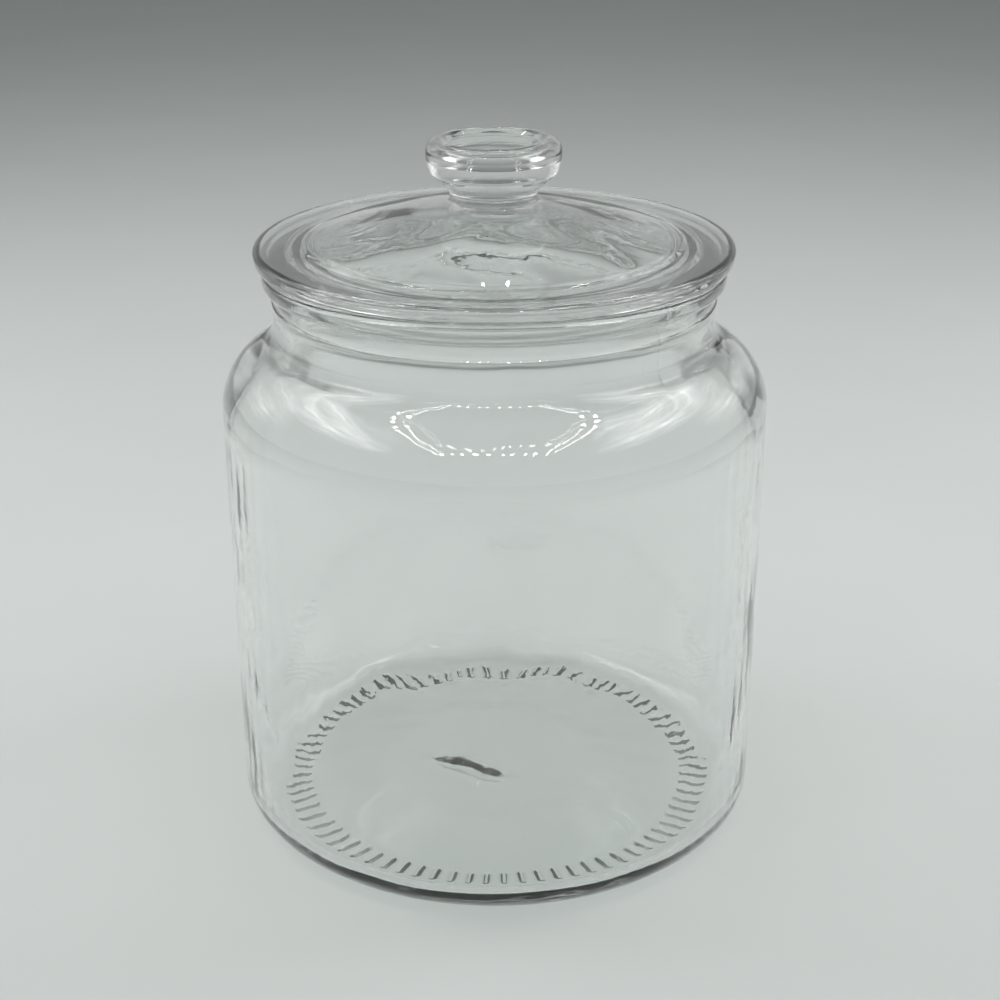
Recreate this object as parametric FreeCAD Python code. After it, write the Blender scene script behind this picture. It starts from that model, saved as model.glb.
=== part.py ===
import FreeCAD, Part
import math
import os

# Clear glass storage jar with a knobbed glass lid that rests loose on its lip.
# Millimetres, +Z up; the origin is the centre of the ring that the jar stands on.
# Each piece is turned about Z from one outline of rounded corners.

# Body
body_radius = 70.0
jar_height = 149.9              # table to the top of the lip
wall = 3.6
floor_thickness = 4.0
heel_radius = 7.5
heel_radius_inside = 5.5
push_up = 2.4                   # how far the floor's middle is raised
push_up_flat_radius = 30.0
push_up_rounding = 40.0

# Shoulder and neck
shoulder_reach = 14.1           # how far the neck stands in from the body
shoulder_slope = 56.0           # degrees from upright
shoulder_radius = 15.5
shoulder_radius_inside = 20.0
neck_fillet = 8.0
neck_fillet_inside = 8.0
neck_length = 18.8              # lip top down to the foot of the neck
neck_wall = 4.3
mould_line_drop = 9.2           # lip top down to the mould line round the neck
mould_line_proud = 0.3
mould_line_width = 0.8

# Lip
lip_proud = 2.6                 # how far the lip stands out from the neck
lip_depth = 5.3
lip_top_rounding = 1.8
lip_under_rounding = 2.6
lip_under_fillet = 0.6
mouth_rounding = 1.5

# Ring of grip bars that the jar stands on
bar_inner_radius = 52.7
bar_length = 5.2
bar_pitch = 4.45
bar_rounding = 0.85
bar_height = 0.5
bar_margin = 1.5                # flat of the ring inside the bars

# Lid seat and plug
seat_clearance = 0.2            # under the lid's flange
plug_clearance = 1.7            # between the plug and the mouth
plug_depth = 7.0
plug_thickness = 4.3
plug_taper = 0.5
plug_rounding = 1.3
plug_root_fillet = 0.8

# Lid flange
flange_overhang = 2.0           # past the lip
flange_thickness = 4.5
flange_top_rounding = 1.6
flange_under_inset = 0.6        # how far the rim leans in at its underside
flange_under_rounding = 2.0
flange_width = 12.5             # rim to the step where the dome begins
step_width = 0.9
step_height = 0.7
step_rounding = 0.4

# Lid dome
dome_rise = 14.2                # seat to the dome's top, at the stem
dome_swell = 1.2                # how far its middle corner stands above a straight cone
dome_rounding = 260.0
dome_thickness = 4.3
dome_root_fillet = 5.0
dome_crown_rounding = 25.0

# Knob
stem_radius = 11.0
stem_foot_fillet = 1.3
knob_radius = 16.9
knob_height = 15.7              # dome's top to the knob's top
knob_top_rounding = 3.3
rim_band = 4.8                  # knob's top to the rim's lower edge
rim_edge_rounding = 0.7
swell_inset = 0.9               # the swell under the rim
swell_height = 3.4
swell_rounding = 2.0
waist_drop = 12.5               # knob's top down to the waist
waist_fillet = 3.0
dish_radius = 12.9
dish_depth = 1.1
dish_slope = 1.9
dish_rounding = 0.9

# Heights and radii that follow
floor_under = bar_height
floor_top = floor_under + floor_thickness
inner_radius = body_radius - wall
neck_radius = body_radius - shoulder_reach
mouth_radius = neck_radius - neck_wall
lip_radius = neck_radius + lip_proud
lip_under = jar_height - lip_depth
mould_line = jar_height - mould_line_drop
neck_foot = jar_height - neck_length
slope = math.radians(shoulder_slope)
shoulder_top = neck_foot - shoulder_reach / math.tan(slope)
inner_shoulder_top = shoulder_top - wall * math.tan(slope / 2)
inner_neck_foot = inner_shoulder_top + (inner_radius - mouth_radius) / math.tan(slope)

seat = jar_height + seat_clearance
plug_radius = mouth_radius - plug_clearance
plug_inner_radius = plug_radius - plug_thickness
plug_bottom = seat - plug_depth
flange_radius = lip_radius + flange_overhang
flange_top = seat + flange_thickness
step_radius = flange_radius - flange_width
step_top = flange_top + step_height
dome_foot_radius = step_radius - step_width
dome_top = seat + dome_rise
dome_middle_radius = (dome_foot_radius + stem_radius) / 2
dome_middle = (dome_top + step_top) / 2 + dome_swell
knob_top = dome_top + knob_height


def rounded_outline(corners):
    """Closed wire in the XZ plane through corners given as (radius, height, rounding).

    The first and last corners are sharp. Two roundings too large for the side
    between them share its length.
    """
    points = [FreeCAD.Vector(radius, 0, height) for radius, height, _ in corners]
    last = len(points) - 1
    half_turns = [0.0] * len(points)
    reaches = [0.0] * len(points)
    for i in range(1, last):
        half_turns[i] = (points[i] - points[i - 1]).getAngle(points[i + 1] - points[i]) / 2
        reaches[i] = corners[i][2] * math.tan(half_turns[i])
    for i in range(1, last):
        side = points[i].distanceToPoint(points[i + 1])
        share = min(1.0, side / max(reaches[i] + reaches[i + 1], side))
        reaches[i] *= share
        reaches[i + 1] *= share
    edges = []
    pen = points[0]
    for i in range(1, last + 1):
        back = (points[i - 1] - points[i]).normalize()
        start = points[i] + back * reaches[i]
        if start.distanceToPoint(pen) > 1e-6:
            edges.append(Part.LineSegment(pen, start).toShape())
        pen = start
        if reaches[i] > 0:
            ahead = (points[i + 1] - points[i]).normalize()
            depth = reaches[i] * math.tan(half_turns[i] / 2)
            middle = points[i] + (back + ahead).normalize() * depth
            pen = points[i] + ahead * reaches[i]
            edges.append(Part.Arc(start, middle, pen).toShape())
    edges.append(Part.LineSegment(pen, points[0]).toShape())
    return Part.Wire(edges)


def turned(corners):
    """Solid turned about Z from an outline that starts and ends on the axis."""
    face = Part.Face(rounded_outline(corners))
    return face.revolve(FreeCAD.Vector(0, 0, 0), FreeCAD.Vector(0, 0, 1), 360)


def grip_bar(angle):
    """One round-backed bar along a radius, its lowest line on the table."""
    height = bar_rounding
    inner_end = FreeCAD.Vector(bar_inner_radius, 0, height)
    outer_end = FreeCAD.Vector(bar_inner_radius + bar_length, 0, height)
    bar = Part.makeCylinder(bar_rounding, bar_length, inner_end, FreeCAD.Vector(1, 0, 0))
    bar = bar.fuse([Part.makeSphere(bar_rounding, end) for end in (inner_end, outer_end)])
    bar.rotate(FreeCAD.Vector(0, 0, 0), FreeCAD.Vector(0, 0, 1), angle)
    return bar


def jar():
    ring_inner_radius = bar_inner_radius - bar_margin
    shell = turned([
        (0, floor_under + push_up, 0),
        (push_up_flat_radius, floor_under + push_up, push_up_rounding),
        (ring_inner_radius, floor_under, push_up_rounding),
        (body_radius, floor_under, heel_radius),
        (body_radius, shoulder_top, shoulder_radius),
        (neck_radius, neck_foot, neck_fillet),
        (neck_radius, mould_line - mould_line_width / 2, 0),
        (neck_radius + mould_line_proud, mould_line, mould_line_proud / 2),
        (neck_radius, mould_line + mould_line_width / 2, 0),
        (neck_radius, lip_under, lip_under_fillet),
        (lip_radius, lip_under, lip_under_rounding),
        (lip_radius, jar_height, lip_top_rounding),
        (mouth_radius, jar_height, mouth_rounding),
        (mouth_radius, inner_neck_foot, neck_fillet_inside),
        (inner_radius, inner_shoulder_top, shoulder_radius_inside),
        (inner_radius, floor_top, heel_radius_inside),
        (ring_inner_radius, floor_top, push_up_rounding),
        (push_up_flat_radius, floor_top + push_up, push_up_rounding),
        (0, floor_top + push_up, 0),
    ])
    bar_count = round(2 * math.pi * (bar_inner_radius + bar_length / 2) / bar_pitch)
    return shell.fuse([grip_bar(360 * i / bar_count) for i in range(bar_count)])


def lid():
    return turned([
        (0, knob_top - dish_depth, 0),
        (dish_radius - dish_slope, knob_top - dish_depth, dish_rounding),
        (dish_radius, knob_top, dish_rounding),
        (knob_radius, knob_top, knob_top_rounding),
        (knob_radius, knob_top - rim_band, rim_edge_rounding),
        (knob_radius - swell_inset, knob_top - rim_band - swell_height, swell_rounding),
        (stem_radius, knob_top - waist_drop, waist_fillet),
        (stem_radius, dome_top, stem_foot_fillet),
        (dome_middle_radius, dome_middle, dome_rounding),
        (dome_foot_radius, step_top, step_rounding),
        (step_radius, flange_top, step_rounding),
        (flange_radius, flange_top, flange_top_rounding),
        (flange_radius - flange_under_inset, seat, flange_under_rounding),
        (plug_radius, seat, plug_root_fillet),
        (plug_radius - plug_taper, plug_bottom, plug_rounding),
        (plug_inner_radius, plug_bottom, plug_rounding),
        (plug_inner_radius, step_top - dome_thickness, dome_root_fillet),
        (dome_middle_radius, dome_middle - dome_thickness, dome_rounding),
        (stem_radius, dome_top - dome_thickness, dome_crown_rounding),
        (0, dome_top - dome_thickness, 0),
    ])


os.makedirs("parts", exist_ok=True)
for node, solid in (("jar", jar()), ("lid", lid())):
    solid.exportStep("parts/" + node + ".step")
    print(node, "solids", len(solid.Solids), "valid", solid.isValid(), "volume cm3", round(solid.Volume / 1000, 1))
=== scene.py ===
import math
import bpy
import numpy as np
from mathutils import Matrix, Vector


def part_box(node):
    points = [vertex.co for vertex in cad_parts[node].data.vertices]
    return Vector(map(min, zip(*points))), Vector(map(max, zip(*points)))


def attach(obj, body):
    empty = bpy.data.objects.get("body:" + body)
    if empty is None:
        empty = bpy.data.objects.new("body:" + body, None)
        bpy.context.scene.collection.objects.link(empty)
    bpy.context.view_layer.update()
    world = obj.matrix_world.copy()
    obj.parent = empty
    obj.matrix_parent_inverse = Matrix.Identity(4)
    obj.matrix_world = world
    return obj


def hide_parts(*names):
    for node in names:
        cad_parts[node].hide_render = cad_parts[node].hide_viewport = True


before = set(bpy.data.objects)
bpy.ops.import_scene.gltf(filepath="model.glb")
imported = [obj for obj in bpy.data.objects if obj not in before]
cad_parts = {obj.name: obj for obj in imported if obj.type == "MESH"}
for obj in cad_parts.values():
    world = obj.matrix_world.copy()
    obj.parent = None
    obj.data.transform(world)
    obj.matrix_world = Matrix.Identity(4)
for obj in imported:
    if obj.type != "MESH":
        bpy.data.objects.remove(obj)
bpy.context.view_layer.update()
mm = 0.001
print("frame loaded:", ", ".join(sorted(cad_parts)))

jarLow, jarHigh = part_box("jar")
lidLow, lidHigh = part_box("lid")


# Outlines and turned surfaces

def roundOutline(corners, arcTurn=9.0):
    # rows of (radius, height, sway) along straight sides joined by tangent arcs; a corner is
    # (radius, height, rounding, row spacing, sway), and its spacing and sway hold up to the next corner
    points = np.array([[c[0], c[1]] for c in corners], float)
    sides = np.diff(points, axis=0)
    lengths = np.hypot(sides[:, 0], sides[:, 1])
    aims = sides / lengths[:, None]
    turns = np.zeros(len(corners))
    turns[1:-1] = np.arctan2(aims[:-1, 0] * aims[1:, 1] - aims[:-1, 1] * aims[1:, 0],
                             (aims[:-1] * aims[1:]).sum(1))
    reaches = np.array([c[2] for c in corners]) * np.tan(np.abs(turns) / 2)
    for i, length in enumerate(lengths):
        share = min(1.0, length / max(reaches[i] + reaches[i + 1], length))
        reaches[i] *= share
        reaches[i + 1] *= share
    rows = [np.array([[points[0, 0], points[0, 1], corners[0][4]]])]
    for i in range(1, len(corners)):
        start = points[i - 1] + aims[i - 1] * reaches[i - 1]
        end = points[i] - aims[i - 1] * reaches[i]
        spacing, sway = corners[i - 1][3], corners[i - 1][4]
        steps = max(1, math.ceil(np.hypot(*(end - start)) / spacing))
        t = np.linspace(0, 1, steps + 1)[1:, None]
        rows.append(np.hstack([start + (end - start) * t, np.full((steps, 1), sway)]))
        if reaches[i] > 0:
            # the arc turns the tangent evenly, so its chord to angle a is 2 radius sin(a / 2)
            radius = reaches[i] / math.tan(abs(turns[i]) / 2)
            steps = max(math.ceil(math.degrees(abs(turns[i])) / arcTurn),
                        math.ceil(radius * abs(turns[i]) / corners[i][3]))
            a = np.linspace(0, 1, steps + 1)[1:] * turns[i]
            heading = math.atan2(aims[i - 1, 1], aims[i - 1, 0]) + a / 2
            chord = 2 * radius * np.sin(np.abs(a) / 2)
            arc = end + np.stack([chord * np.cos(heading), chord * np.sin(heading)], 1)
            blend = np.linspace(0, 1, steps + 1)[1:, None]
            rows.append(np.hstack([arc, sway + (corners[i][4] - sway) * blend]))
    rows = np.vstack(rows)
    # rows that fall on each other are dropped
    apart = np.append(True, np.hypot(*np.diff(rows[:, :2], axis=0).T) > 1e-4)
    return rows[apart]


def outlineNormals(rows):
    # the outward normal is the path's direction turned a quarter to its right
    ahead = np.gradient(rows[:, :2], axis=0)
    normals = np.stack([ahead[:, 1], -ahead[:, 0]], 1)
    normals /= np.hypot(normals[:, 0], normals[:, 1])[:, None]
    normals[0], normals[-1] = (0, -1 if normals[0, 1] < 0 else 1), (0, 1 if normals[-1, 1] > 0 else -1)
    return normals


def lengthAlong(rows):
    return np.append(0, np.cumsum(np.hypot(*np.diff(rows[:, :2], axis=0).T)))


def ripple(angles, along, seed, waves, longest, shortest, around):
    # a sum of cosines that close round the axis: cos(k angle + 2 pi along / length + phase)
    draw = np.random.default_rng(seed)
    field = np.zeros((len(along), len(angles)))
    for _ in range(waves):
        k = draw.integers(around[0], around[1] + 1) * draw.choice((-1, 1))
        length = draw.uniform(shortest, longest)
        phase = draw.uniform(0, 2 * math.pi)
        field += np.cos(k * angles[None, :] + 2 * math.pi * along[:, None] / length + phase)
    return field / math.sqrt(waves)


def turnedMesh(name, radius, height, angles):
    # x = radius cos(angle), y = radius sin(angle), z = height on the grid of rows and columns;
    # the first and last rows lie on the axis, and each is one vertex with a fan of triangles
    ringR, ringZ = radius[1:-1], height[1:-1]
    count, columns = ringR.shape
    grid = np.stack([ringR * np.cos(angles), ringR * np.sin(angles), ringZ], 2).reshape(-1, 3)
    poles = np.array([[0, 0, height[0].mean()], [0, 0, height[-1].mean()]])
    points = np.vstack([grid, poles]) * mm
    cell = np.arange(count * columns).reshape(count, columns)
    beside = np.roll(cell, -1, axis=1)
    quads = np.stack([cell[:-1], beside[:-1], beside[1:], cell[1:]], 2).reshape(-1, 4)
    first = np.stack([np.full(columns, count * columns), beside[0], cell[0]], 1)
    final = np.stack([np.full(columns, count * columns + 1), cell[-1], beside[-1]], 1)
    mesh = bpy.data.meshes.new(name)
    mesh.from_pydata(points.tolist(), [], quads.tolist() + first.tolist() + final.tolist())
    mesh.polygons.foreach_set("use_smooth", np.ones(len(mesh.polygons), bool))
    mesh.update()
    made = bpy.data.objects.new(name, mesh)
    bpy.context.scene.collection.objects.link(made)
    print(name, "rows", count, "columns", columns, "triangles", 2 * len(quads) + 2 * columns)
    return made


# Jar

jarSizes = {
    "radius": -jarLow.x / mm,
    "height": jarHigh.z / mm,
    "wall": 3.6,
    "floor": 4.0,
    "heel": 7.5,
    "heelInside": 5.5,
    "pushUp": 2.4,
    "pushUpFlat": 30.0,
    "pushUpRounding": 40.0,
    "shoulderReach": 14.1,
    "shoulderSlope": 56.0,
    "shoulderRounding": 15.5,
    "shoulderInside": 20.0,
    "neckFillet": 8.0,
    "neckFilletInside": 8.0,
    "neckLength": 18.8,
    "neckWall": 4.3,
    "mouldLineDrop": 9.2,
    "mouldLineProud": 0.3,
    "mouldLineWidth": 0.8,
    "lipProud": 2.6,
    "lipDepth": 5.3,
    "lipTop": 1.8,
    "lipUnder": 2.6,
    "lipFillet": 0.6,
    "mouthRounding": 1.5,
    "barInner": 52.7,
    "barLength": 5.2,
    "barPitch": 4.45,
    "barRounding": 0.85,
    "barHeight": 0.5,
    "barMargin": 1.5,
    "barClear": 1.2,
    "barColumns": (-0.78, -0.45, 0.0, 0.45, 0.78, 2.22),
    "seamAngle": -46.15,
    "seamProud": 0.12,
    "seamWidth": 0.35,
    "markPlace": (-7.0, -7.7),
    "markTurn": -31.0,
    "markLong": 12.5,
    "markWide": 2.4,
    "markDeep": 1.1,
    "markBend": 0.5,
    "markBends": 0.3,
    "outsideSway": 0.05,
    "insideSway": 0.16,
    "swayFade": 45.0,
    "ripples": ({"seed": 11, "waves": 9, "longest": 120, "shortest": 45, "around": (2, 7)},
                {"seed": 12, "waves": 14, "longest": 46, "shortest": 17, "around": (6, 22)}),
}


def jarOutline(s):
    ringInner = s["barInner"] - s["barMargin"]
    barEnd = s["barInner"] + s["barLength"] + s["barClear"]
    under, top = s["barHeight"], s["barHeight"] + s["floor"]
    inner = s["radius"] - s["wall"]
    neck = s["radius"] - s["shoulderReach"]
    mouth = neck - s["neckWall"]
    lip = neck + s["lipProud"]
    lipUnder = s["height"] - s["lipDepth"]
    mould = s["height"] - s["mouldLineDrop"]
    neckFoot = s["height"] - s["neckLength"]
    slope = math.radians(s["shoulderSlope"])
    shoulderTop = neckFoot - s["shoulderReach"] / math.tan(slope)
    innerShoulder = shoulderTop - s["wall"] * math.tan(slope / 2)
    innerFoot = innerShoulder + (inner - mouth) / math.tan(slope)
    out, within, half = s["outsideSway"], s["insideSway"], s["mouldLineWidth"] / 2
    return [
        (0, under + s["pushUp"], 0, 4, out),
        (s["pushUpFlat"], under + s["pushUp"], s["pushUpRounding"], 4, out),
        (ringInner, under, s["pushUpRounding"], 0.5, 0),
        (barEnd, under, 0, 3, 0),
        (s["radius"], under, s["heel"], 5, out),
        (s["radius"], shoulderTop, s["shoulderRounding"], 3, out),
        (neck, neckFoot, s["neckFillet"], 3, out),
        (neck, mould - half, 0, 0.2, 0),
        (neck + s["mouldLineProud"], mould, s["mouldLineProud"] / 2, 0.2, 0),
        (neck, mould + half, 0, 2, 0),
        (neck, lipUnder, s["lipFillet"], 1.5, 0),
        (lip, lipUnder, s["lipUnder"], 1.5, 0),
        (lip, s["height"], s["lipTop"], 2.5, 0),
        (mouth, s["height"], s["mouthRounding"], 3, 0),
        (mouth, innerFoot, s["neckFilletInside"], 3, within),
        (inner, innerShoulder, s["shoulderInside"], 4.5, within),
        (inner, top, s["heelInside"], 3, within),
        (ringInner, top, s["pushUpRounding"], 3, within),
        (s["pushUpFlat"], top + s["pushUp"], s["pushUpRounding"], 0.8, within),
        (0, top + s["pushUp"], 0, 3, within),
    ]


def makeJar(s):
    middle = s["barInner"] + s["barLength"] / 2
    barCount = round(2 * math.pi * middle / s["barPitch"])
    centres = np.arange(barCount) * 2 * math.pi / barCount
    angles = (centres[:, None] + np.array(s["barColumns"]) / middle).ravel()
    rows = roundOutline(jarOutline(s))
    normals = outlineNormals(rows)
    along = lengthAlong(rows)
    outside = along < along[rows[:, 1].argmax()]
    sway = sum(0.5 * ripple(angles, along, **waves) for waves in s["ripples"])
    # the outside only sinks in, so that it stays in its box, and near the axis the waves fade
    depth = np.where(outside[:, None], -np.abs(sway), sway) * rows[:, 2:3]
    depth *= np.clip(rows[:, :1] / s["swayFade"], 0, 1) ** 2
    # a seam is a bell across the wall, from the foot of the neck to the top of the lip
    onLip = outside & (rows[:, 1] > s["height"] - s["neckLength"])
    for seam in (s["seamAngle"], s["seamAngle"] + 180):
        gap = (angles - math.radians(seam) + math.pi) % (2 * math.pi) - math.pi
        across = gap[None, :] * rows[:, :1]
        depth += s["seamProud"] * np.exp(-(across / s["seamWidth"]) ** 2) * onLip[:, None]
    # the mark of the shears is a short bent groove in the floor: a bell across it, cut off at its ends
    turn = math.radians(s["markTurn"])
    x = rows[:, :1] * np.cos(angles) - s["markPlace"][0]
    y = rows[:, :1] * np.sin(angles) - s["markPlace"][1]
    u, v = x * math.cos(turn) + y * math.sin(turn), y * math.cos(turn) - x * math.sin(turn)
    bent = v + s["markBend"] * np.sin(s["markBends"] * u)
    groove = np.exp(-(u / s["markLong"]) ** 4 - (bent / s["markWide"]) ** 2)
    onFloor = ~outside & (rows[:, 0] < s["pushUpFlat"])
    depth -= s["markDeep"] * groove * onFloor[:, None]
    radius = rows[:, :1] + normals[:, :1] * depth
    height = rows[:, 1:2] + normals[:, 1:2] * depth
    # a bar is a round back along a radius: height = rounding - sqrt(rounding^2 - distance^2)
    gap = (angles - np.round(angles * barCount / (2 * math.pi)) * 2 * math.pi / barCount)[None, :]
    reach = rows[:, :1] * np.cos(gap)
    past = np.maximum(s["barInner"] - reach, 0) + np.maximum(reach - s["barInner"] - s["barLength"], 0)
    distance = np.hypot(rows[:, :1] * np.sin(gap), past)
    inside = np.maximum(s["barRounding"] ** 2 - distance ** 2, 0)
    bars = np.where(inside > 0, s["barRounding"] - np.sqrt(inside), np.inf)
    firstHalf = np.arange(len(rows))[:, None] < len(rows) / 2
    underneath = (rows[:, 1:2] < s["barHeight"] + s["pushUp"]) & firstHalf
    height = np.where(underneath, np.minimum(height, bars), height)
    return turnedMesh("jarGlass", radius, height, angles)


# Lid

lidSizes = {
    "seatGap": 0.2,
    "plugGap": 1.7,
    "plugWall": 4.3,
    "plugTaper": 0.5,
    "plugRounding": 1.3,
    "plugRoot": 0.8,
    "flangeOverhang": 2.0,
    "flangeThick": 4.5,
    "flangeTop": 1.6,
    "flangeLean": 0.6,
    "flangeUnder": 2.0,
    "flangeWidth": 12.5,
    "stepWidth": 0.9,
    "stepHeight": 0.7,
    "stepRounding": 0.4,
    "domeRise": 14.2,
    "domeSwell": 1.2,
    "domeRounding": 260.0,
    "domeThick": 4.3,
    "domeRoot": 5.0,
    "domeCrown": 25.0,
    "stem": 11.0,
    "stemFillet": 1.3,
    "knob": 16.9,
    "knobTopRounding": 3.3,
    "rimBand": 4.8,
    "rimEdge": 0.7,
    "swellInset": 0.9,
    "swellHeight": 3.4,
    "swellRounding": 2.0,
    "waistDrop": 12.5,
    "waistFillet": 3.0,
    "dish": 12.9,
    "dishDepth": 1.1,
    "dishSlope": 1.9,
    "dishRounding": 0.9,
    "columns": 360,
    "topSway": 0.06,
    "underSway": 0.22,
    "rimSway": 0.04,
    "dishSway": 0.03,
    "swaySeed": 7,
    "swayWaves": 12,
    "swayLengths": (13, 34),
    "swayPhase": 6.3,
}


def lidOutline(s, jar):
    seat = jar["height"] + s["seatGap"]
    neck = jar["radius"] - jar["shoulderReach"]
    plug = neck - jar["neckWall"] - s["plugGap"]
    plugInner = plug - s["plugWall"]
    plugFoot = lidLow.z / mm
    knobTop = lidHigh.z / mm
    flange = neck + jar["lipProud"] + s["flangeOverhang"]
    flangeTop = seat + s["flangeThick"]
    step = flange - s["flangeWidth"]
    stepTop = flangeTop + s["stepHeight"]
    domeFoot = step - s["stepWidth"]
    domeTop = seat + s["domeRise"]
    domeMid = (domeFoot + s["stem"]) / 2
    domeMidTop = (domeTop + stepTop) / 2 + s["domeSwell"]
    over, under = s["topSway"], s["underSway"]
    return [
        (0, domeTop - s["domeThick"], 0, 1.5, under),
        (s["stem"], domeTop - s["domeThick"], s["domeCrown"], 1.5, under),
        (domeMid, domeMidTop - s["domeThick"], s["domeRounding"], 1.5, under),
        (plugInner, stepTop - s["domeThick"], s["domeRoot"], 1, under / 3),
        (plugInner, plugFoot, s["plugRounding"], 1.5, 0),
        (plug - s["plugTaper"], plugFoot, s["plugRounding"], 2, 0),
        (plug, seat, s["plugRoot"], 2, 0),
        (flange - s["flangeLean"], seat, s["flangeUnder"], 1.5, 0),
        (flange, flangeTop, s["flangeTop"], 2, s["rimSway"]),
        (step, flangeTop, s["stepRounding"], 1, 0),
        (domeFoot, stepTop, s["stepRounding"], 2, over),
        (domeMid, domeMidTop, s["domeRounding"], 2, over),
        (s["stem"], domeTop, s["stemFillet"], 1, 0),
        (s["stem"], knobTop - s["waistDrop"], s["waistFillet"], 1, 0),
        (s["knob"] - s["swellInset"], knobTop - s["rimBand"] - s["swellHeight"], s["swellRounding"], 1, 0),
        (s["knob"], knobTop - s["rimBand"], s["rimEdge"], 1, 0),
        (s["knob"], knobTop, s["knobTopRounding"], 1, 0),
        (s["dish"], knobTop, s["dishRounding"], 0.8, 0),
        (s["dish"] - s["dishSlope"], knobTop - s["dishDepth"], s["dishRounding"], 2, s["dishSway"]),
        (0, knobTop - s["dishDepth"], 0, 2, s["dishSway"]),
    ]


def makeLid(s, jar):
    angles = np.arange(s["columns"]) * 2 * math.pi / s["columns"]
    rows = roundOutline(lidOutline(s, jar))
    normals = outlineNormals(rows)
    along = lengthAlong(rows)
    x, y = rows[:, :1] * np.cos(angles), rows[:, :1] * np.sin(angles)
    # plane waves over the dome, so that they don't bunch up at the axis
    draw = np.random.default_rng(s["swaySeed"])
    sway = np.zeros_like(x)
    for _ in range(s["swayWaves"]):
        turn, length = draw.uniform(0, 2 * math.pi), draw.uniform(*s["swayLengths"])
        onward = x * math.cos(turn) + y * math.sin(turn)
        sway += np.cos(onward * 2 * math.pi / length + draw.uniform(0, s["swayPhase"]))
    sway /= math.sqrt(s["swayWaves"])
    topSide = along > along[rows[:, 0].argmax()]
    depth = np.where(topSide[:, None], -np.abs(sway), sway) * rows[:, 2:3]
    radius = rows[:, :1] + normals[:, :1] * depth
    height = rows[:, 1:2] + normals[:, 1:2] * depth
    return turnedMesh("lidGlass", radius, height, angles)


jarGlass = makeJar(jarSizes)
lidGlass = makeLid(lidSizes, jarSizes)


# Shader building

class Wire:
    # a socket whose arithmetic adds Math nodes
    def __init__(self, tree, socket):
        self.tree, self.socket = tree, socket

    def math(self, operation, other):
        return self.tree.node("Math", {"operation": operation}, {0: self, 1: other})

    def __mul__(self, other):
        return self.math("MULTIPLY", other)

    def __pow__(self, other):
        return self.math("POWER", other)


class Tree:
    # one node tree; node() adds a node by type, sets its settings, then feeds its sockets
    def __init__(self, owner):
        owner.use_nodes = True
        self.made = owner.node_tree
        self.made.nodes.clear()

    def node(self, kind, settings=None, inputs=None, output=0):
        made = self.made.nodes.new("ShaderNode" + kind)
        for name, value in (settings or {}).items():
            if name == "stops":
                self.setStops(made.color_ramp, value)
            else:
                setattr(made, name, value)
        for name, value in (inputs or {}).items():
            if isinstance(value, Wire):
                self.made.links.new(value.socket, made.inputs[name])
            else:
                made.inputs[name].default_value = value
        return Wire(self, made.outputs[output]) if len(made.outputs) else made

    def setStops(self, ramp, stops):
        while len(ramp.elements) < len(stops):
            ramp.elements.new(1.0)
        for element, (place, colour) in zip(ramp.elements, stops):
            element.position, element.color = place, (*colour, 1)


# Glass

glassFinish = {
    "ior": 1.52,
    "clear": (0.985, 0.992, 0.988, 1),
    "tinted": (0.955, 0.972, 0.963, 1),
    "patch": 28.0,
    "smudge": 60.0,
    "smudgeSwirl": 0.6,
    "rough": 0.035,
    "skin": 190.0,
    "skinDepth": 0.00003,
    "coat": 0.7,
    "coatRough": 0.04,
    "coatIor": 1.45,
    "edgeBlend": 0.35,
    "shadowLight": (0.96, 0.965, 0.962, 1),
    "shadowDark": (0.70, 0.73, 0.715, 1),
}


def clearGlass(name, f, roll):
    material = bpy.data.materials.new(name)
    tree = Tree(material)
    place = tree.node("TexCoord", output="Object")
    spot = tree.node("Mapping", {}, {"Vector": place, "Rotation": (0, 0, roll)})
    patches = tree.node("TexNoise", {}, {"Vector": spot, "Scale": f["patch"], "Detail": 2.0})
    smudges = tree.node("TexNoise", {}, {
        "Vector": spot, "Scale": f["smudge"], "Detail": 3.0, "Distortion": f["smudgeSwirl"]})
    skin = tree.node("TexNoise", {}, {"Vector": spot, "Scale": f["skin"], "Detail": 2.0})
    tint = tree.node("Mix", {"data_type": "RGBA"}, {0: patches, 6: f["clear"], 7: f["tinted"]}, output=2)
    rough = (smudges ** 3) * f["rough"]
    bump = tree.node("Bump", {}, {"Height": skin, "Distance": f["skinDepth"], "Strength": 1.0})
    glass = tree.node("BsdfPrincipled", {}, {
        "Base Color": tint, "Roughness": rough, "IOR": f["ior"], "Transmission Weight": 1.0, "Normal": bump,
        "Coat Weight": f["coat"], "Coat Roughness": f["coatRough"], "Coat IOR": f["coatIor"]})
    # lamps and the floor see a thin tinted film in its place, darker where the wall is seen edge on
    edge = tree.node("LayerWeight", {}, {"Blend": f["edgeBlend"]}, output="Facing")
    light = tree.node("BsdfTransparent", {}, {"Color": f["shadowLight"]})
    dark = tree.node("BsdfTransparent", {}, {"Color": f["shadowDark"]})
    film = tree.node("MixShader", {}, {0: edge ** 2, 1: light, 2: dark})
    isDiffuse = tree.node("LightPath", output="Is Diffuse Ray")
    isShadow = tree.node("LightPath", output="Is Shadow Ray")
    inner = tree.node("MixShader", {}, {0: isDiffuse, 1: glass, 2: film})
    outer = tree.node("MixShader", {}, {0: isShadow, 1: inner, 2: film})
    tree.node("OutputMaterial", {}, {"Surface": outer})
    return material


jarGlass.data.materials.append(clearGlass("jarGlassFinish", glassFinish, roll=0.4))
lidGlass.data.materials.append(clearGlass("lidGlassFinish", glassFinish, roll=1.9))
for piece, node, slot in ((jarGlass, "jar", "jar_glass"), (lidGlass, "lid", "lid_glass")):
    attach(piece, "root")
    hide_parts(node)
print("glass finished")


# Floor

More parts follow.
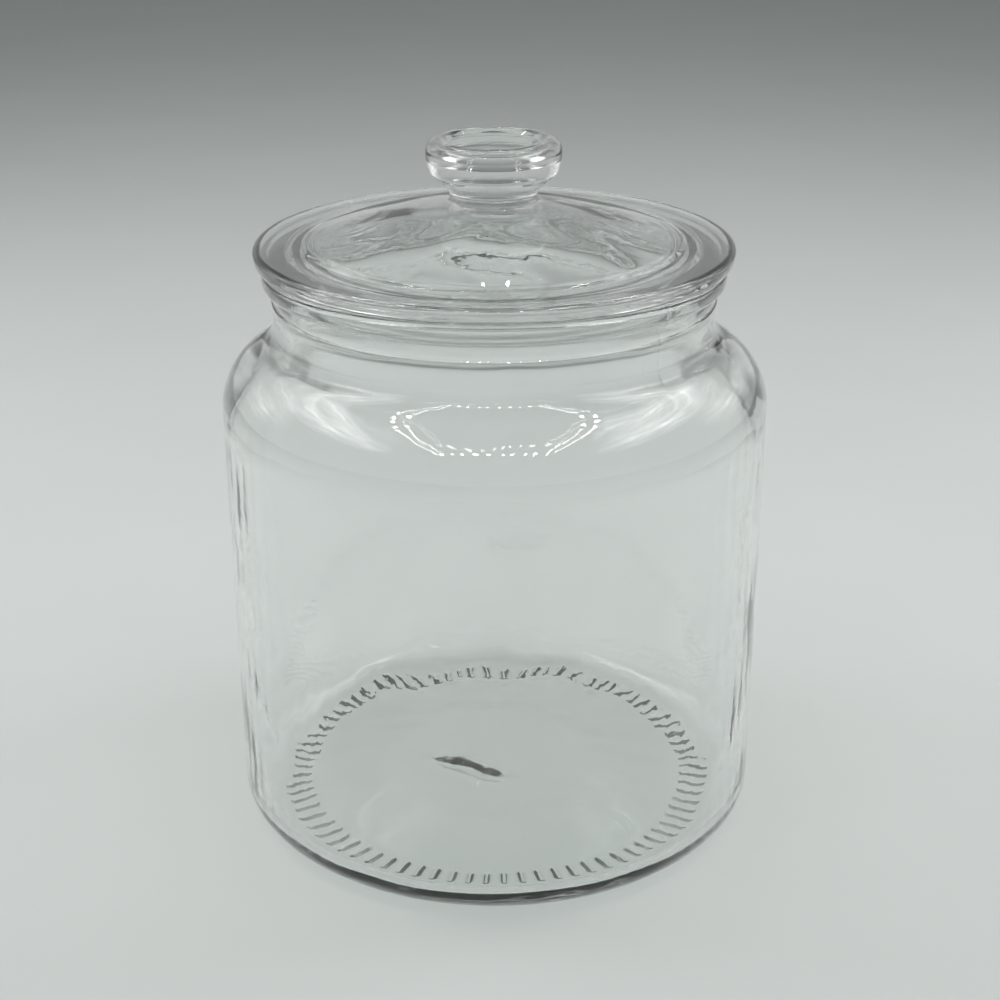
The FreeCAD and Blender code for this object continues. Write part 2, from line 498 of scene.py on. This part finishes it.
floorLook = {
    "reach": 6.0,
    "sides": 96,
    "colour": (0.60, 0.62, 0.61, 1),
    "shade": (0.56, 0.58, 0.57, 1),
    "grain": 9.0,
    "roughness": 0.75,
}


def makeFloor(f):
    # a disc: x = reach cos(angle), y = reach sin(angle), level with the bottom of the jar
    angles = np.arange(f["sides"]) * 2 * math.pi / f["sides"]
    points = np.stack([f["reach"] * np.cos(angles), f["reach"] * np.sin(angles), np.zeros(f["sides"])], 1)
    mesh = bpy.data.meshes.new("floor")
    mesh.from_pydata(points.tolist(), [], [list(range(f["sides"]))])
    floor = bpy.data.objects.new("floor", mesh)
    bpy.context.scene.collection.objects.link(floor)
    material = bpy.data.materials.new("floorFinish")
    tree = Tree(material)
    place = tree.node("TexCoord", output="Object")
    grain = tree.node("TexNoise", {}, {"Vector": place, "Scale": f["grain"], "Detail": 3.0})
    colour = tree.node("Mix", {"data_type": "RGBA"}, {0: grain, 6: f["colour"], 7: f["shade"]}, output=2)
    paper = tree.node("BsdfPrincipled", {}, {"Base Color": colour, "Roughness": f["roughness"]})
    tree.node("OutputMaterial", {}, {"Surface": paper})
    mesh.materials.append(material)


makeFloor(floorLook)


# Studio light

studio = {
    "topHeight": 1.05, "topSize": 0.8, "topPower": 5.0, "topBack": -0.05, "topAim": 0.05,
    "sideAzimuth": 108.0, "sideLift": 42.0, "sideReach": 0.9, "sideAim": 0.6,
    "sideWidth": 0.34, "sideHeight": 0.42, "sidePower": 3.0,
    "panels": ({"azimuth": 92.0, "lift": 45.0, "halfLong": 0.66, "halfHigh": 0.19, "strength": 6.0},
               {"azimuth": 118.0, "lift": 22.0, "halfLong": 0.34, "halfHigh": 0.24, "strength": 2.4}),
    "panelReach": 0.9, "panelAim": 0.8, "panelGain": 2.5,
    "panelStreaks": 7.0, "panelSwirl": 0.4, "panelStretch": (0.5, 3.0, 1),
    "lampHeight": 0.85, "lampHalf": 0.33, "lampFront": -0.60, "lampBack": 0.50, "lampStrand": 0.045,
    "lampDots": 10, "lampSideDots": 30, "lampStrength": 46.0,
    "lampFrontDot": (0.014, 0.05), "lampBackDot": (0.006, 0.010), "lampSideDot": (0.010, 0.011),
    "sky": ((0.0, (0.50, 0.52, 0.51)), (0.35, (0.30, 0.315, 0.31)), (0.9, (0.17, 0.18, 0.175))),
}


def aim(made, place, target):
    made.location = place
    made.rotation_euler = (Vector(target) - Vector(place)).to_track_quat("-Z", "Y").to_euler()


def direction(azimuth, lift, side):
    # a unit step at an angle round from the camera's side, to the left or right, and up from level
    a, e = math.radians(azimuth) * side, math.radians(lift)
    return Vector((math.sin(a) * math.cos(e), -math.cos(a) * math.cos(e), math.sin(e)))


def softBox(name, place, target, width, height, power):
    data = bpy.data.lights.new(name, "AREA")
    data.shape, data.size, data.size_y, data.energy = "RECTANGLE", width, height, power
    box = bpy.data.objects.new(name, data)
    bpy.context.scene.collection.objects.link(box)
    aim(box, place, target)
    box.visible_camera = box.visible_glossy = box.visible_transmission = False


def makeLights(s):
    softBox("topBox", (0, s["topBack"], s["topHeight"]), (0, s["topAim"], 0),
            s["topSize"], s["topSize"], s["topPower"])
    middle = Vector((0, 0, jarHigh.z * s["sideAim"]))
    for side in (-1, 1):
        place = direction(s["sideAzimuth"], s["sideLift"], side) * s["sideReach"]
        softBox("sideBox" + "LR"[side > 0], place + middle, middle,
                s["sideWidth"], s["sideHeight"], s["sidePower"])


def makePanels(s):
    # strips on both sides that only shine in the glass: each fades to its edges, and streaks run along it
    middle = Vector((0, 0, jarHigh.z * s["panelAim"]))
    for panel in s["panels"]:
        w, h = panel["halfLong"], panel["halfHigh"]
        material = bpy.data.materials.new("panelGlow")
        tree = Tree(material)
        spot = tree.node("TexCoord", output="Object")
        fit = tree.node("Mapping", {}, {"Vector": spot, "Scale": (1 / w, 1 / h, 1)})
        drawn = tree.node("Mapping", {}, {"Vector": spot, "Scale": s["panelStretch"]})
        fade = tree.node("TexGradient", {"gradient_type": "SPHERICAL"}, {"Vector": fit}, output=1)
        streak = tree.node("TexNoise", {}, {
            "Vector": drawn, "Scale": s["panelStreaks"], "Detail": 3.0, "Distortion": s["panelSwirl"]})
        glow = tree.node("Emission", {}, {"Color": (1, 1, 1, 1), "Strength": panel["strength"]})
        clear = tree.node("BsdfTransparent", {}, {"Color": (1, 1, 1, 1)})
        seen = tree.node("MixShader", {}, {0: fade * (streak ** 2) * s["panelGain"], 1: clear, 2: glow})
        tree.node("OutputMaterial", {}, {"Surface": seen})
        for side in (-1, 1):
            mesh = bpy.data.meshes.new("panel")
            mesh.from_pydata([(-w, -h, 0), (w, -h, 0), (w, h, 0), (-w, h, 0)], [], [(0, 1, 2, 3)])
            mesh.materials.append(material)
            card = bpy.data.objects.new("panel", mesh)
            bpy.context.scene.collection.objects.link(card)
            place = direction(panel["azimuth"], panel["lift"], side) * s["panelReach"]
            aim(card, place + middle, middle)
            card.visible_camera = card.visible_diffuse = card.visible_shadow = False


def makeLamp(s):
    # a frame of small lamps that face down: a row of dots in front and behind, and two rows,
    # closer set, along each side
    across = (np.arange(s["lampDots"]) + 0.5) / s["lampDots"] * 2 - 1
    along = np.linspace(s["lampFront"], s["lampBack"], s["lampSideDots"])
    half = s["lampHalf"]
    front, back = ([(across * half, np.full_like(across, y))] for y in (s["lampFront"], s["lampBack"]))
    edges = (half, half - s["lampStrand"])
    sides = [(np.full_like(along, x), along) for edge in edges for x in (-edge, edge)]
    corner = np.array([[-0.5, -0.5], [-0.5, 0.5], [0.5, 0.5], [0.5, -0.5]])
    sets = ((front, s["lampFrontDot"]), (back, s["lampBackDot"]), (sides, s["lampSideDot"]))
    points = np.concatenate([np.hstack(rows).T[:, None, :] + corner * dot for rows, dot in sets])
    points = np.concatenate([points, np.full((*points.shape[:2], 1), s["lampHeight"])], 2).reshape(-1, 3)
    mesh = bpy.data.meshes.new("lampDots")
    mesh.from_pydata(points.tolist(), [], np.arange(len(points)).reshape(-1, 4).tolist())
    lamp = bpy.data.objects.new("lampDots", mesh)
    bpy.context.scene.collection.objects.link(lamp)
    material = bpy.data.materials.new("lampGlow")
    tree = Tree(material)
    glow = tree.node("Emission", {}, {"Color": (1, 1, 1, 1), "Strength": s["lampStrength"]})
    tree.node("OutputMaterial", {}, {"Surface": glow})
    mesh.materials.append(material)
    lamp.visible_camera = lamp.visible_diffuse = lamp.visible_shadow = False


def makeSky(s):
    # pale at the horizon and darker overhead, by the height of the view ray
    world = bpy.data.worlds.new("studioSky")
    bpy.context.scene.world = world
    tree = Tree(world)
    ray = tree.node("TexCoord", output="Generated")
    lift = tree.node("SeparateXYZ", {}, {0: ray}, output=2)
    colour = tree.node("ValToRGB", {"stops": s["sky"]}, {0: lift})
    back = tree.node("Background", {}, {"Color": colour, "Strength": 1.0})
    tree.node("OutputWorld", {}, {"Surface": back})


makeLights(studio)
makePanels(studio)
makeLamp(studio)
makeSky(studio)
print("studio lit")


# Camera

cameraView = {
    "lens": 64.8, "sensor": 36.0,
    "aside": 0.0022, "back": 0.4409, "height": 0.2701,
    "pitch": 22.93, "yaw": -0.12, "roll": 0.18,
    "clip": (0.01, 50),
}


def makeCamera(c):
    data = bpy.data.cameras.new("camera")
    data.lens, data.sensor_width = c["lens"], c["sensor"]
    data.clip_start, data.clip_end = c["clip"]
    camera = bpy.data.objects.new("camera", data)
    bpy.context.scene.collection.objects.link(camera)
    camera.matrix_world = (
        Matrix.Translation((c["aside"], -c["back"], c["height"]))
        @ Matrix.Rotation(-math.radians(c["yaw"]), 4, "Z")
        @ Matrix.Rotation(math.radians(90 - c["pitch"]), 4, "X")
        @ Matrix.Rotation(-math.radians(c["roll"]), 4, "Z"))
    bpy.context.scene.camera = camera


makeCamera(cameraView)

cycles = bpy.context.scene.cycles
cycles.max_bounces = 24
cycles.transmission_bounces = 24
cycles.glossy_bounces = 8
cycles.transparent_max_bounces = 24
cycles.caustics_reflective = False
cycles.caustics_refractive = False
bpy.context.scene.view_settings.view_transform = "Standard"
